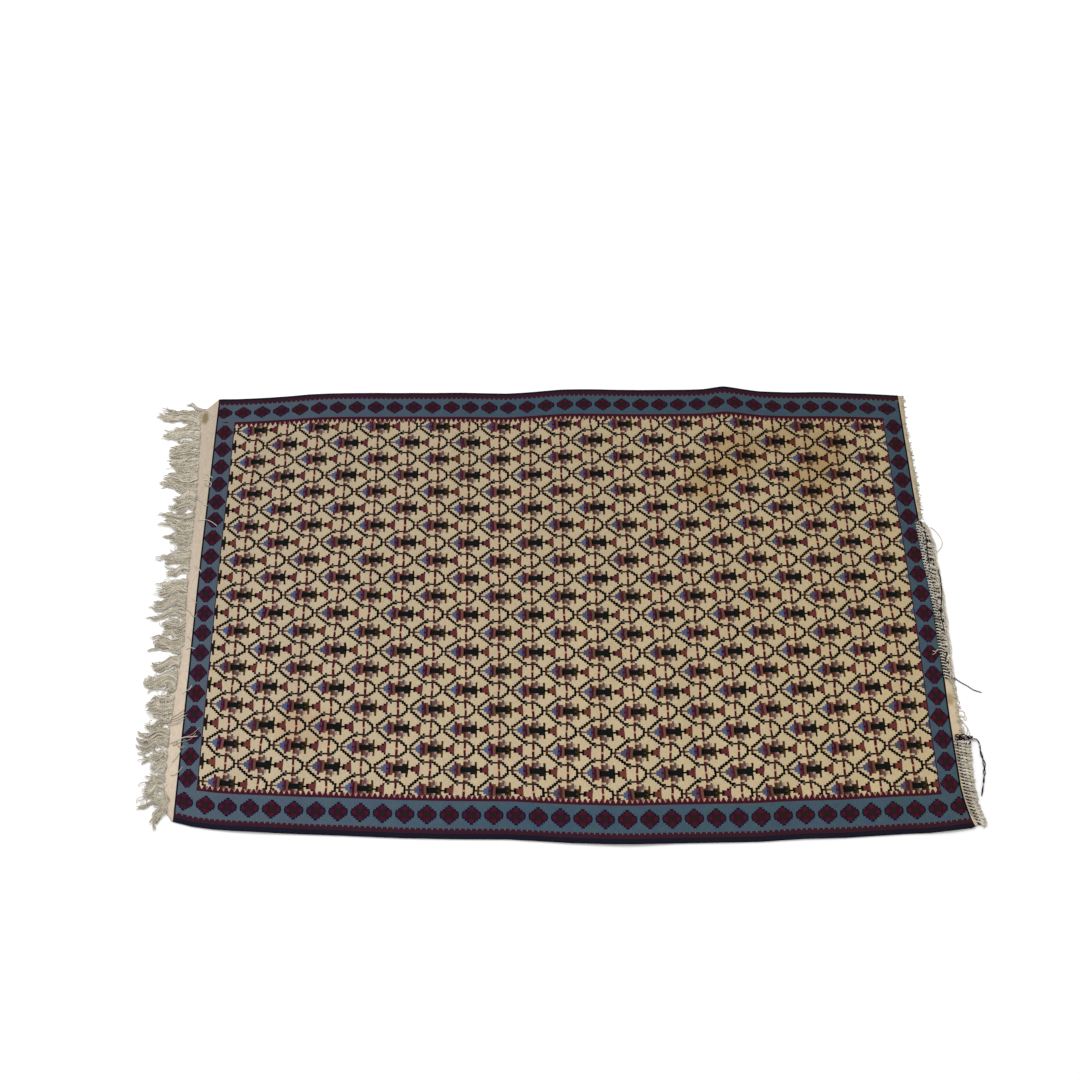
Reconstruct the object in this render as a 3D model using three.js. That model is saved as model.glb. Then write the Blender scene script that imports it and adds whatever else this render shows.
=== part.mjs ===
// A flat-woven kilim lying on the floor. Its pieces are the woven cloth with a plain-weave skirt at each
// end, a comb of knotted warp ends along the left end, and along the right end a braided edge, a knot of
// dark yarn, a row of looped warp ends and one loose two-ply cord.
// Millimetres. +X runs along the warps from the fringed end, +Y towards the far selvedge, +Z up.

import * as THREE from "three";

// ---------- driving sizes ----------

const CLOTH_THICKNESS = 3;
const FRINGE_HEIGHT = 7;
const BRAID_HEIGHT = 7;
const LOOP_HEIGHT = 7;
const KNOT_HEIGHT = 8;
const CORD_DIAMETER = 3;
const PIECE_GAP = 0.4; // between a piece and the cloth that it is worked from

const CLOTH_COLUMNS = 38; // facets along the warps
const CLOTH_ROWS = 14; // even facets across, besides the rows where an end steps in or out
const SAME_ROW = 0.0005; // rows of facets closer than this share of the width are one

// The two selvedges, seen from above: the cloth is widest near its middle and no edge is quite straight.
const SELVEDGES = [
  { x: -940, near: -570, far: 606 },
  { x: -884, near: -577, far: 608 },
  { x: -843, near: -589, far: 608 },
  { x: -772, near: -600, far: 611 },
  { x: -628, near: -609, far: 622 },
  { x: -500, near: -615, far: 623 },
  { x: -376, near: -622, far: 624 },
  { x: -249, near: -626, far: 621 },
  { x: -123, near: -628, far: 619 },
  { x: 4, near: -638, far: 628 },
  { x: 130, near: -644, far: 628 },
  { x: 257, near: -641, far: 627 },
  { x: 384, near: -640, far: 627 },
  { x: 447, near: -639, far: 633 },
  { x: 510, near: -634, far: 621 },
  { x: 620, near: -632, far: 614 },
  { x: 762, near: -624, far: 611 },
  { x: 836, near: -622, far: 607 },
  { x: 900, near: -612, far: 601 },
  { x: 935, near: -612, far: 601 },
];

// The two ends, skirts included. A share of 0 is the near selvedge and 1 the far one. The far left
// corner is cut off aslant, and the right skirt is worn away where the braid and the loops are.
const LEFT_END = [
  { share: 0, x: -884 },
  { share: 0.011, x: -893 },
  { share: 0.028, x: -914 },
  { share: 0.1, x: -915 },
  { share: 0.2, x: -917 },
  { share: 0.3, x: -914 },
  { share: 0.39, x: -909 },
  { share: 0.5, x: -916 },
  { share: 0.7, x: -921 },
  { share: 0.8, x: -924 },
  { share: 0.9, x: -930 },
  { share: 0.966, x: -937 },
  { share: 0.976, x: -914 },
  { share: 1, x: -888 },
];

const RIGHT_END = [
  { share: 0, x: 908 },
  { share: 0.006, x: 922 },
  { share: 0.012, x: 931 },
  { share: 0.018, x: 933 },
  { share: 0.022, x: 913 },
  { share: 0.056, x: 907 },
  { share: 0.144, x: 903 },
  { share: 0.184, x: 900 },
  { share: 0.1857, x: 921 },
  { share: 0.257, x: 920 },
  { share: 0.3135, x: 919 },
  { share: 0.3152, x: 903 },
  { share: 0.455, x: 901 },
  { share: 0.545, x: 896 },
  { share: 0.679, x: 889 },
  { share: 0.6807, x: 907 },
  { share: 0.762, x: 909 },
  { share: 0.857, x: 906 },
  { share: 0.927, x: 905 },
  { share: 1, x: 909 },
];

// Low ridges where the cloth doesn't lie down. Each starts at a selvedge and dies out inwards.
const RIDGES = [
  { edge: "far", x: -560, halfWidth: 160, height: 5, reach: 200 },
  { edge: "far", x: -240, halfWidth: 90, height: 3, reach: 160 },
  { edge: "far", x: 60, halfWidth: 150, height: 5, reach: 220 },
  { edge: "far", x: 445, halfWidth: 70, height: 9, reach: 170 },
  { edge: "far", x: 690, halfWidth: 90, height: 4, reach: 180 },
  { edge: "near", x: -700, halfWidth: 120, height: 3, reach: 110 },
  { edge: "near", x: 110, halfWidth: 190, height: 4, reach: 140 },
  { edge: "near", x: 862, halfWidth: 42, height: 6, reach: 70 },
];

// The tangled clumps of the fringe, from the near end to the far one: where each leaves the skirt, its
// half width there, and where it ends. The spine is the strip of close warps that they all grow from.
const FRINGE_SPINE = 9;
const FRINGE_SHARES = { from: 0.03, to: 0.964 };
const CLUMP_SHOULDER = 0.6; // a clump is squared off this many tip half widths before its tip
const CLUMPS = [
  { y: -519, half: 16, tipX: -917, tipY: -604, tipHalf: 11 },
  { y: -480, half: 18, tipX: -972, tipY: -500, tipHalf: 14 },
  { y: -430, half: 22, tipX: -958, tipY: -430, tipHalf: 15 },
  { y: -360, half: 26, tipX: -990, tipY: -362, tipHalf: 18 },
  { y: -290, half: 24, tipX: -982, tipY: -292, tipHalf: 18 },
  { y: -225, half: 26, tipX: -990, tipY: -215, tipHalf: 20 },
  { y: -168, half: 18, tipX: -985, tipY: -174, tipHalf: 12 },
  { y: -122, half: 18, tipX: -992, tipY: -135, tipHalf: 18 },
  { y: -78, half: 16, tipX: -975, tipY: -86, tipHalf: 8 },
  { y: -20, half: 26, tipX: -1006, tipY: -25, tipHalf: 22 },
  { y: 40, half: 22, tipX: -1000, tipY: 28, tipHalf: 16 },
  { y: 84, half: 14, tipX: -978, tipY: 72, tipHalf: 8 },
  { y: 125, half: 13, tipX: -1000, tipY: 112, tipHalf: 5 },
  { y: 170, half: 18, tipX: -988, tipY: 170, tipHalf: 10 },
  { y: 225, half: 26, tipX: -1016, tipY: 230, tipHalf: 24 },
  { y: 284, half: 22, tipX: -990, tipY: 290, tipHalf: 14 },
  { y: 345, half: 26, tipX: -1022, tipY: 350, tipHalf: 14 },
  { y: 404, half: 23, tipX: -1008, tipY: 405, tipHalf: 16 },
  { y: 453, half: 17, tipX: -1012, tipY: 446, tipHalf: 10 },
  { y: 497, half: 18, tipX: -1040, tipY: 499, tipHalf: 9 },
  { y: 542, half: 17, tipX: -1052, tipY: 585, tipHalf: 24 },
];

// The braid: how far it stands out from the woven edge.
const BRAID = [
  { share: 0.316, width: 15 },
  { share: 0.37, width: 22 },
  { share: 0.45, width: 27 },
  { share: 0.54, width: 32 },
  { share: 0.61, width: 36 },
  { share: 0.645, width: 36 },
  { share: 0.678, width: 23 },
];

// The looped warp ends side by side, leaning outwards towards the near selvedge, and the knot of dark
// yarn between them and the skirt.
const LOOPS = { count: 23, pitch: 8, firstY: -399.8, outerX: 926, lean: 0.035, bulge: 5 };
const LOOP_SHARES = [0.04, 0.25, 0.5, 0.75, 0.96]; // where one loop's outline has a point
const LOOP_BAND_STEPS = 6;
const KNOT = { fromX: 901.2, toX: 944, fromY: -399.4, toY: -389.6, corner: 3, segments: 4 };

// The loose cord: out of the knot's right end, down to the floor and along it to its cut end.
const CORD_ROUTE = [
  [944.5, -393.5, 4.2],
  [947.5, -393.6, 3.9],
  [950.6, -394.7, 3.2],
  [953.2, -397.2, 2.4],
  [954.9, -401.0, 1.8],
  [955.8, -407.0, 1.6],
  [955.9, -415.0, 1.6],
  [955.6, -424.0, 1.6],
  [956.5, -434.0, 1.6],
  [958.2, -444.0, 1.6],
  [959.0, -454.0, 1.6],
  [958.2, -464.0, 1.6],
  [956.4, -475.0, 1.6],
  [954.0, -486.0, 1.6],
  [951.4, -498.0, 1.6],
  [948.2, -510.0, 1.6],
  [944.8, -522.0, 1.6],
  [941.0, -535.0, 1.6],
];
const CORD_STEPS = 26;
const CORD_SIDES = 8;

// ---------- working out the cloth ----------

// Reads one column of a table at a place between its rows.
function readTable(table, key, column, at) {
  const last = table.length - 1;
  let i = 0;
  while (i < last - 1 && at > table[i + 1][key]) {
    i += 1;
  }
  const low = table[i];
  const high = table[i + 1];
  const part = (at - low[key]) / (high[key] - low[key]);
  const share = Math.min(Math.max(part, 0), 1);
  return low[column] + share * (high[column] - low[column]);
}

function clothPoint(along, across) {
  const left = readTable(LEFT_END, "share", "x", across);
  const right = readTable(RIGHT_END, "share", "x", across);
  const x = left + along * (right - left);
  const near = readTable(SELVEDGES, "x", "near", x);
  const far = readTable(SELVEDGES, "x", "far", x);
  return { x, y: near + across * (far - near), near, far };
}

// 1 at a ridge's crest, falling softly to 0 at its foot.
function swell(share) {
  return Math.cos((share * Math.PI) / 2) ** 2;
}

// The height of the cloth's underside above the floor.
function lift(point) {
  let height = 0;
  for (const ridge of RIDGES) {
    const inwards = ridge.edge === "far" ? point.far - point.y : point.y - point.near;
    const aside = Math.abs(point.x - ridge.x) / ridge.halfWidth;
    const along = inwards / ridge.reach;
    if (aside < 1 && along < 1) {
      height += ridge.height * swell(aside) * swell(along);
    }
  }
  return height;
}

// The shares across at which the cloth has a row of facets.
function clothRows() {
  const shares = [...LEFT_END, ...RIGHT_END].map((row) => row.share);
  for (let i = 0; i <= CLOTH_ROWS; i += 1) {
    shares.push(i / CLOTH_ROWS);
  }
  shares.sort((a, b) => a - b);
  return shares.filter((share, i) => i === 0 || share - shares[i - 1] > SAME_ROW);
}

// A closed sheet over a grid of points: a top, an underside and the four narrow edges.
function clothGeometry() {
  const rows = clothRows();
  const positions = [];
  const faces = [];
  for (const across of rows) {
    for (let i = 0; i <= CLOTH_COLUMNS; i += 1) {
      const point = clothPoint(i / CLOTH_COLUMNS, across);
      const low = lift(point);
      positions.push(point.x, point.y, low, point.x, point.y, low + CLOTH_THICKNESS);
    }
  }
  const under = (i, j) => 2 * (j * (CLOTH_COLUMNS + 1) + i);
  const quad = (a, b, c, d) => faces.push(a, b, c, a, c, d);
  for (let j = 0; j < rows.length - 1; j += 1) {
    for (let i = 0; i < CLOTH_COLUMNS; i += 1) {
      const corners = [under(i, j), under(i + 1, j), under(i + 1, j + 1), under(i, j + 1)];
      quad(corners[0] + 1, corners[1] + 1, corners[2] + 1, corners[3] + 1);
      quad(corners[3], corners[2], corners[1], corners[0]);
    }
  }
  const wall = (a, b) => quad(a, b, b + 1, a + 1);
  const lastRow = rows.length - 1;
  for (let i = 0; i < CLOTH_COLUMNS; i += 1) {
    wall(under(i, 0), under(i + 1, 0));
    wall(under(i + 1, lastRow), under(i, lastRow));
  }
  for (let j = 0; j < lastRow; j += 1) {
    wall(under(CLOTH_COLUMNS, j), under(CLOTH_COLUMNS, j + 1));
    wall(under(0, j + 1), under(0, j));
  }
  const geometry = new THREE.BufferGeometry();
  geometry.setAttribute("position", new THREE.Float32BufferAttribute(positions, 3));
  geometry.setIndex(faces);
  return geometry;
}

// Points along one end of the cloth, moved outwards by the gap.
function endPoints(along, from, to) {
  const outwards = along === 0 ? -PIECE_GAP : PIECE_GAP;
  const shares = clothRows().filter((share) => share > from && share < to);
  return [from, ...shares, to].map((share) => {
    const point = clothPoint(along, share);
    return new THREE.Vector2(point.x + outwards, point.y);
  });
}

// ---------- the pieces worked from the warp ends ----------

function slab(outline, height) {
  const shape = new THREE.Shape(outline);
  return new THREE.ExtrudeGeometry(shape, { depth: height, bevelEnabled: false });
}

// One comb: a narrow spine along the skirt, and a tapering tooth for each clump.
function fringeGeometry() {
  const inner = endPoints(0, FRINGE_SHARES.from, FRINGE_SHARES.to);
  const spineX = (y) => {
    const next = inner.findIndex((point) => point.y > y);
    return inner[next < 0 ? inner.length - 1 : next].x - FRINGE_SPINE;
  };
  const outline = [];
  for (const clump of CLUMPS) {
    const rootNear = new THREE.Vector2(spineX(clump.y - clump.half), clump.y - clump.half);
    const rootFar = new THREE.Vector2(spineX(clump.y + clump.half), clump.y + clump.half);
    const tip = new THREE.Vector2(clump.tipX, clump.tipY);
    const reach = tip.clone().sub(rootNear.clone().add(rootFar).multiplyScalar(0.5)).normalize();
    const aside = new THREE.Vector2(reach.y, -reach.x).multiplyScalar(clump.tipHalf);
    const shoulder = tip.clone().addScaledVector(reach, -CLUMP_SHOULDER * clump.tipHalf);
    outline.push(rootNear, shoulder.clone().sub(aside), tip, shoulder.clone().add(aside), rootFar);
  }
  inner.reverse();
  return slab([...outline, ...inner], FRINGE_HEIGHT);
}

function braidGeometry() {
  const from = BRAID[0].share;
  const to = BRAID[BRAID.length - 1].share;
  const inner = endPoints(1, from, to);
  const outer = BRAID.map((row) => {
    const point = clothPoint(1, row.share);
    return new THREE.Vector2(point.x + row.width, point.y);
  });
  inner.reverse();
  return slab([...outer, ...inner], BRAID_HEIGHT);
}

// One comb: each loop is a half round on the outer side of the band, and the band leans with the cloth.
function loopsGeometry() {
  const endY = LOOPS.firstY - LOOPS.count * LOOPS.pitch;
  const corner = SELVEDGES[SELVEDGES.length - 1];
  const leftX = (y) => clothPoint(1, (y - corner.near) / (corner.far - corner.near)).x;
  const outline = [];
  for (let i = 0; i < LOOPS.count; i += 1) {
    const startY = LOOPS.firstY - i * LOOPS.pitch;
    const baseX = LOOPS.outerX + LOOPS.lean * (LOOPS.firstY - startY);
    for (const share of LOOP_SHARES) {
      const bulge = LOOPS.bulge * Math.sin(share * Math.PI);
      outline.push(new THREE.Vector2(baseX + bulge, startY - share * LOOPS.pitch));
    }
  }
  for (let i = 0; i <= LOOP_BAND_STEPS; i += 1) {
    const y = endY + (i / LOOP_BAND_STEPS) * (LOOPS.firstY - endY);
    outline.push(new THREE.Vector2(leftX(y) + 2 * PIECE_GAP, y));
  }
  return slab(outline.reverse(), LOOP_HEIGHT);
}

function knotGeometry() {
  const { fromX, toX, fromY, toY, corner, segments } = KNOT;
  const shape = new THREE.Shape();
  shape.moveTo(fromX, fromY);
  shape.lineTo(toX - corner, fromY);
  shape.absarc(toX - corner, fromY + corner, corner, -Math.PI / 2, 0, false);
  shape.lineTo(toX, toY - corner);
  shape.absarc(toX - corner, toY - corner, corner, 0, Math.PI / 2, false);
  shape.lineTo(fromX, toY);
  const settings = { depth: KNOT_HEIGHT, bevelEnabled: false, curveSegments: segments };
  return new THREE.ExtrudeGeometry(shape, settings);
}

function cordGeometry() {
  const section = new THREE.Shape();
  section.absarc(0, 0, CORD_DIAMETER / 2, 0, 2 * Math.PI, false);
  const route = new THREE.CatmullRomCurve3(CORD_ROUTE.map((point) => new THREE.Vector3(...point)));
  const settings = { steps: CORD_STEPS, extrudePath: route, curveSegments: CORD_SIDES, bevelEnabled: false };
  return new THREE.ExtrudeGeometry(section, settings);
}

// ---------- the kilim ----------

const cottonYarn = { color: 0xb5a994, roughness: 0.95, metalness: 0 };
const woolCloth = { color: 0x8d7a66, roughness: 0.95, metalness: 0 };
const darkYarn = { color: 0x3a2a2c, roughness: 0.95, metalness: 0 };

function piece(name, geometry, finish) {
  const mesh = new THREE.Mesh(geometry, new THREE.MeshStandardMaterial(finish));
  mesh.name = name;
  return mesh;
}

const body = [
  piece("kilim_cloth", clothGeometry(), woolCloth),
  piece("warp_fringe", fringeGeometry(), cottonYarn),
  piece("warp_braid", braidGeometry(), cottonYarn),
  piece("warp_loops", loopsGeometry(), cottonYarn),
  piece("yarn_knot", knotGeometry(), darkYarn),
];
const cord = piece("loose_cord", cordGeometry(), darkYarn);

// The origin is at the bottom centre of everything but the loose cord.
const kilim = new THREE.Group();
kilim.add(...body);
const centre = new THREE.Box3().setFromObject(kilim).getCenter(new THREE.Vector3());
kilim.position.set(-centre.x, -centre.y, 0);
kilim.add(cord);

export default kilim;
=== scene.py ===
"""Looks for a flat-woven kilim that lies on the floor: the patterned cloth, its knotted fringe, the braid,
loops and knot of its worn end, its loose threads and its loose two-ply cord."""

import math

import bpy
import numpy as np
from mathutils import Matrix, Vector, noise
from mathutils.bvhtree import BVHTree


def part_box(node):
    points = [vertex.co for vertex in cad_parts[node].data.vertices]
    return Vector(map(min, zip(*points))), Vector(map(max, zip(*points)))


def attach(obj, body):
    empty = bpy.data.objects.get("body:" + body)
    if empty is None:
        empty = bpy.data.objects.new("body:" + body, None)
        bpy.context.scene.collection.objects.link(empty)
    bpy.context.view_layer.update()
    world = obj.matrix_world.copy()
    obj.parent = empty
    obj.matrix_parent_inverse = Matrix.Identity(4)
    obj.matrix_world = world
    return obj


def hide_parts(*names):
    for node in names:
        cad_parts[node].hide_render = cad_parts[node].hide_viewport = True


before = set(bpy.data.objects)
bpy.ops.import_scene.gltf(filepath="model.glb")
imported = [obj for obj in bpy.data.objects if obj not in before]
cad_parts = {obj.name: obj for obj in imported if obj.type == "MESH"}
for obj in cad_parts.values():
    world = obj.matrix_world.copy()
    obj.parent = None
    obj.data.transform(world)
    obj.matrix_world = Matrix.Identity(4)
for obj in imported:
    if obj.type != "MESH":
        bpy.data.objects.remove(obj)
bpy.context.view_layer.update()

MM = 0.001

# ---------- where things are ----------

# The tables below give distances in millimetres along (x) and across (y) the cloth, from the middle of
# the weave, which lies this far in from the cloth's left skirt and near selvedge.
cloth_low, cloth_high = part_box("kilim_cloth")
MIDDLE_FROM_SKIRT = 937.0
MIDDLE_FROM_SELVEDGE = 643.44
MIDDLE_X = cloth_low.x + MIDDLE_FROM_SKIRT * MM
MIDDLE_Y = cloth_low.y + MIDDLE_FROM_SELVEDGE * MM

CLOTH_THICKNESS = 3.0
SKIRT_THICKNESS = 1.8
SELVEDGE_CORD = 1.2  # how much thicker the overcast selvedge is
SELVEDGE_CORD_IN = 3.0  # how far in from the edge that is most, and how far it spreads
SELVEDGE_RADIUS = 1.6
EDGE_THICKNESS = 0.3  # the share of the thickness that is left at the very edge
PUCKERS = {"broad": 0.7, "fine": 0.3, "clear": 0.3}  # their heights, and how far they clear the floor
RIB = 2.35  # from one warp to the next
GRID_STEP = 9.0  # of the cloth's mesh
SAME_ROW = 0.0003  # rows of the mesh closer than this share of the width are one
SELVEDGE_STEPS = [0.0, 0.5, 1.6, 3.0, 6.0]  # extra rows of the mesh at each selvedge, from its edge

# The field is charted like a knitting pattern, in cells: u counts them along the warps and v across. It
# holds 10.7 repeats of the chart along it and 10.5 across, evenly spaced.
FIELD_LEFT = -838.0  # mm, where the field starts at the left end
FIELD_LENGTH = 1684.0
FIELD_ENDS = {"left": -260.0, "right": 382.0}  # in cells
CELL_LENGTH = FIELD_LENGTH / (FIELD_ENDS["right"] - FIELD_ENDS["left"])
FIELD_SIDES = {"near": 0.0744, "far": 0.9343}  # shares of the width
FIELD_ROWS = {"near": -208.0, "far": 254.0}  # in cells

# The long borders are counted outwards in rows of about 4.5 mm: (share of the width, row). Row 0 is the
# line that the field's red teeth stand on. The end borders are counted in chart cells from the field's end.
NEAR_BORDER = [
    (0.0, 19.8), (0.0095, 17.2), (0.0198, 14.5), (0.0689, 1.4),
    (0.0744, 0.0), (0.0816, -2.0), (0.0888, -4.0),
]
FAR_BORDER = [
    (0.9185, -4.0), (0.9264, -2.0), (0.9343, 0.0),
    (0.9422, 1.4), (0.983, 14.5), (0.9945, 17.2), (1.0, 19.8),
]
LONG_BORDER = {"teeth": -2.8, "red": -0.8, "teal": 0.5, "maroon": 14.5, "dark": 17.2}
END_BORDER = {"purple": 0.0, "teal": 0.9, "lozenge": 9.6, "black": 17.4, "edge": 19.0}
TEETH_PER_LOZENGE = 4.0
NOTCH = {"half": 0.12, "deep": 0.8}  # in the maroon band: its half width in teeth, its depth in rows

# The half width of the gap between two red teeth, in teeth: its change a row further out, and at row 0.
TOOTH_GAP = (-0.16, -0.07)

# A lozenge's half sizes, aside in lozenges and outwards in rows or cells, and how far aside its two blunt
# corners reach.
LONG_LOZENGE = {"aside": 0.572, "out": 5.3, "blunt": 0.44}
END_LOZENGE = {"aside": 0.53, "out": 8.8, "blunt": 0.47}
LOZENGES_START = 2.6  # the row where the long borders' lozenges start
LOZENGE_ROWS = 10  # how high they are
END_LOZENGE_ROWS = 11.7  # the rows from one lozenge to the next, up an end
LOZENGE_INSIDE = 0.83  # the share of a lozenge that is inside its outline
LOZENGE_BANDS = 0.27  # the half width of the two bands that cross in it and divide it in nine

# Close to the ends the last few picks have been pulled to the right: (y in mm, how far in mm).
PULL_LEFT = [(-600, 8.3), (-274, 4.0), (50, 0.0), (600, 0.0)]
PULL_RIGHT = [
    (-622, 24.0), (-592, 14.0), (-551, 6.0), (-512, 2.0), (-350, 1.5), (-180, 5.0), (-60, 5.6), (150, 5.0),
    (300, 1.0), (600, 0.0),
]
HALF_LENGTH = 900.0

# Age and spills: (x in mm, y in mm, half length, half width, sRGB that the stain multiplies, strength).
STAINS = [
    (249, 179, 11, 12, "#b04030", 0.75),
    (372, 330, 60, 70, "#e0c898", 0.5),
    (455, 420, 80, 90, "#dcc090", 0.5),
    (640, 330, 70, 75, "#e0c494", 0.45),
    (690, 430, 60, 90, "#d8bc94", 0.5),
    (575, 460, 70, 60, "#dcc498", 0.4),
    (-918, 547, 10, 22, "#9c9870", 0.8),
    (905, -290, 9, 18, "#a89c74", 0.6),
    (-600, -350, 90, 60, "#f0d8c8", 0.4),
]

# The borders' lozenges are numbered and evenly spaced: (mm, lozenge number) where a row of them starts and
# where it ends, along the two long borders and up the two ends. The corners belong to the long borders.
NEAR_LOZENGES = [(-886, -0.5), (913, 35.5)]
FAR_LOZENGES = [(-895, -0.5), (885, 35.5)]
LEFT_LOZENGES = [(-500, -0.5), (580, 19.5)]
RIGHT_LOZENGES = [(-533, 0.5), (583, 20.5)]

# The fringe's clumps of warp ends: the middle of the root (y) and its half width, then the tip (x, y) and
# its half width.
CLUMPS = [
    (-519, 16, -917, -604, 11), (-480, 18, -972, -500, 14), (-430, 22, -958, -430, 15),
    (-360, 26, -990, -362, 18), (-290, 24, -982, -292, 18), (-225, 26, -990, -215, 20),
    (-168, 18, -985, -174, 12), (-122, 18, -992, -135, 18), (-78, 16, -975, -86, 8),
    (-20, 26, -1006, -25, 22), (40, 22, -1000, 28, 16), (84, 14, -978, 72, 8), (125, 13, -1000, 112, 5),
    (170, 18, -988, 170, 10), (225, 26, -1016, 230, 24), (284, 22, -990, 290, 14),
    (345, 26, -1022, 350, 14), (404, 23, -1008, 405, 16), (453, 17, -1012, 446, 10),
    (497, 18, -1040, 499, 9), (542, 17, -1052, 585, 24),
]
WARP_END_RADIUS = 1.15
FRINGE_HANKS = (-548, 574, 100)  # the short hanks between the clumps: from y, to y, how many
FRINGE_CURLS = (-540, 570, 110)
RAVELLED = [(212, 603, 120), (-385, -236, 60)]  # where the right skirt ravels: from y, to y, how many ends

# The right end's braid and the rolled loops below it: (y, inner x, outer x).
BRAID = [
    (-236, 901, 922), (-187, 900, 925), (-139, 899, 927), (-84, 901, 929), (-27, 900, 931), (31, 898, 930),
    (90, 894, 929), (137, 893, 930), (177, 891, 924), (206, 891, 911),
]
BRAID_LINES = [  # where a dark yarn lies along the top of the braid
    [(898, 204), (903, 189), (908, 161), (907, 133), (905, 101), (906, 78)],
    [(925, 62), (927, 31), (924, -8), (917, -46), (914, -69), (916, -113)],
    [(914, -168), (909, -183), (904, -200)],
]
LOOPS = [
    (-606, 921, 938), (-592, 917, 941), (-572, 911, 937), (-548, 906, 930), (-525, 903, 930),
    (-483, 901, 931), (-456, 900, 930), (-427, 900, 933), (-394, 900, 935),
]
LOOP_PITCH = 8.0
LADDER_PITCH = 8.0  # of the white stitches along the braid's inner side
PLAIT_PITCH = 9.0

# The loose cord's route from the knot, in mm from the middle of the weave, with its height.
CORD_ROUTE = [
    (944.5, -393.5, 4.2), (947.5, -393.6, 3.9), (950.6, -394.7, 3.2), (953.2, -397.2, 2.4),
    (954.9, -401, 1.8), (955.8, -407, 1.6), (955.9, -415, 1.6), (955.6, -424, 1.6), (956.5, -434, 1.6),
    (958.2, -444, 1.6), (959, -454, 1.6), (958.2, -464, 1.6), (956.4, -475, 1.6), (954, -486, 1.6),
    (951.4, -498, 1.6), (948.2, -510, 1.6), (944.8, -522, 1.6), (941, -535, 1.6),
]
CORD_DIAMETER = 3.0

# Ends of the knot's yarn that straggle over the first loops.
KNOT_WISPS = [
    [(899, -389), (906, -384), (915, -390), (914, -399), (906, -398), (901, -403)],
    [(911, -386), (921, -384), (931, -391), (935, -401), (930, -410)],
    [(899, -394), (905, -402), (902, -411)],
    [(918, -394), (925, -402), (922, -412)],
]

# Loose threads that lie over the ends, as (x, y) in mm.
PALE_THREADS = [
    [(-920, 572), (-908, 566), (-896, 552)],
    [(-900, 372), (-893, 366), (-880, 356)],
    [(-902, 352), (-890, 348), (-882, 338), (-886, 328)],
    [(-900, 345), (-896, 334), (-884, 330)],
    [(-937, 297), (-918, 294), (-902, 285), (-893, 274), (-884, 272)],
    [(-905, 228), (-886, 229), (-870, 222), (-855, 210)],
    [(-900, 96), (-890, 88), (-882, 76)],
    [(-895, 2), (-888, -8), (-884, -12)],
    [(-910, -28), (-898, -36), (-890, -48), (-884, -50), (-879, -40)],
    [(-896, -104), (-890, -110), (-889, -118)],
    [(-896, -138), (-884, -136), (-874, -139)],
    [(-893, -258), (-884, -250), (-877, -246), (-872, -236)],
    [(-930, -322), (-905, -316), (-884, -300)],
    [(-930, -325), (-902, -322), (-880, -306)],
    [(-928, -328), (-900, -327), (-876, -312)],
    [(-926, -332), (-902, -334), (-880, -322)],
    [(-924, -336), (-906, -338), (-886, -332)],
    [(-906, -386), (-884, -374), (-860, -364), (-843, -346)],
    [(-902, -388), (-880, -372), (-862, -370), (-845, -368)],
    [(-900, -392), (-880, -382), (-862, -376), (-850, -360)],
    [(-893, -380), (-888, -392), (-878, -398), (-870, -394)],
    [(-891, -384), (-884, -396), (-874, -392)],
    [(-897, -432), (-888, -420), (-880, -404)],
    [(-897, -466), (-884, -462), (-871, -444)],
    [(925, 190), (936, 178), (946, 158), (948, 142), (942, 128), (930, 115)],
    [(919, -238), (923, -262), (922, -282), (926, -302)],
    [(926, -318), (934, -326), (930, -336), (925, -332)],
    [(924, -330), (932, -344), (936, -340), (933, -332)],
    [(922, -342), (930, -356), (934, -368), (930, -382)],
    [(921, -345), (934, -362), (938, -385), (936, -405)],
    [(918, -350), (926, -366), (924, -382)],
    [(928, -590), (934, -596), (938, -606), (934, -612)],
    [(922, -592), (930, -602), (936, -600)],
    [(896, -158), (888, -164), (881, -162)],
    [(890, -163), (885, -170), (878, -172)],
]
DARK_THREADS = [
    [(915, -168), (908, -184), (903, -202)],
    [(912, -176), (910, -196), (905, -212), (912, -228)],
    [(908, -208), (916, -222), (925, -242)],
    [(918, -226), (932, -242), (950, -255), (964, -266), (982, -273)],
    [(898, 207), (903, 203), (908, 200)],
    [(903, 209), (904, 203), (900, 197)],
    [(900, -386), (908, -390), (914, -388)],
]

# One repeat of the field, drawn with a letter to a step of the weave, which is two cells each way.
# The first row lies on the middle of the motif. The rows are mirrored on its other side, and the other half
# of the repeat is the same again, half a repeat further on. From the left: the lattice's crossing, the
# stem, the blue bud, the tall bar, the dark body with its hooks and wings, the stem, the cup, and the red
# dashes.
STEPS = [
    "DSSBBMMRKGGGGYKKKCCCIIIIZIIIKK",
    "DIIBBPMRKGGGGGYIKCCCIIIIMIIIKI",
    "KKIIBPMRDDRQGYYIIIKCIIIIMIIKKI",
    "IKKIIMERIDRNQIYIIIIKIKIIMIGKII",
    "IIKKIMIIIDNRQIYIIIIIKNKKDGGIII",
    "IIIKKIIIIZINIIIIIIIKKKIIMNIIII",
]
CHART = ["".join(letter * 2 for letter in STEPS[(row + 1) // 2]) for row in range(11)]
CHART_START = 13.0  # the cell where the chart's first column lies
REPEAT_ALONG = 60.0  # in cells
REPEAT_ACROSS = 44.0

# How many there are to a metre of each unevenness in the wool.
PER_METRE = {
    "wander": 24.0,  # a shape's edge wanders over some 42 mm
    "ragged": 400.0,  # one warp to the next, 2.5 mm
    "spun": 60.0,  # the borders' yarn changes over 17 mm
    "shot": 300.0,  # a thick place in the weft, 3 mm
    "batch": 14.0,  # a batch of dye, 70 mm
    "lump": 350.0,  # a lump in the weave, 3 mm
    "soil": 90.0,  # a soiled place on loose yarn, 11 mm
}
BUMP_HEIGHT = 0.0004  # metres, of the wool's ribs and of a yarn's plies

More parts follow.
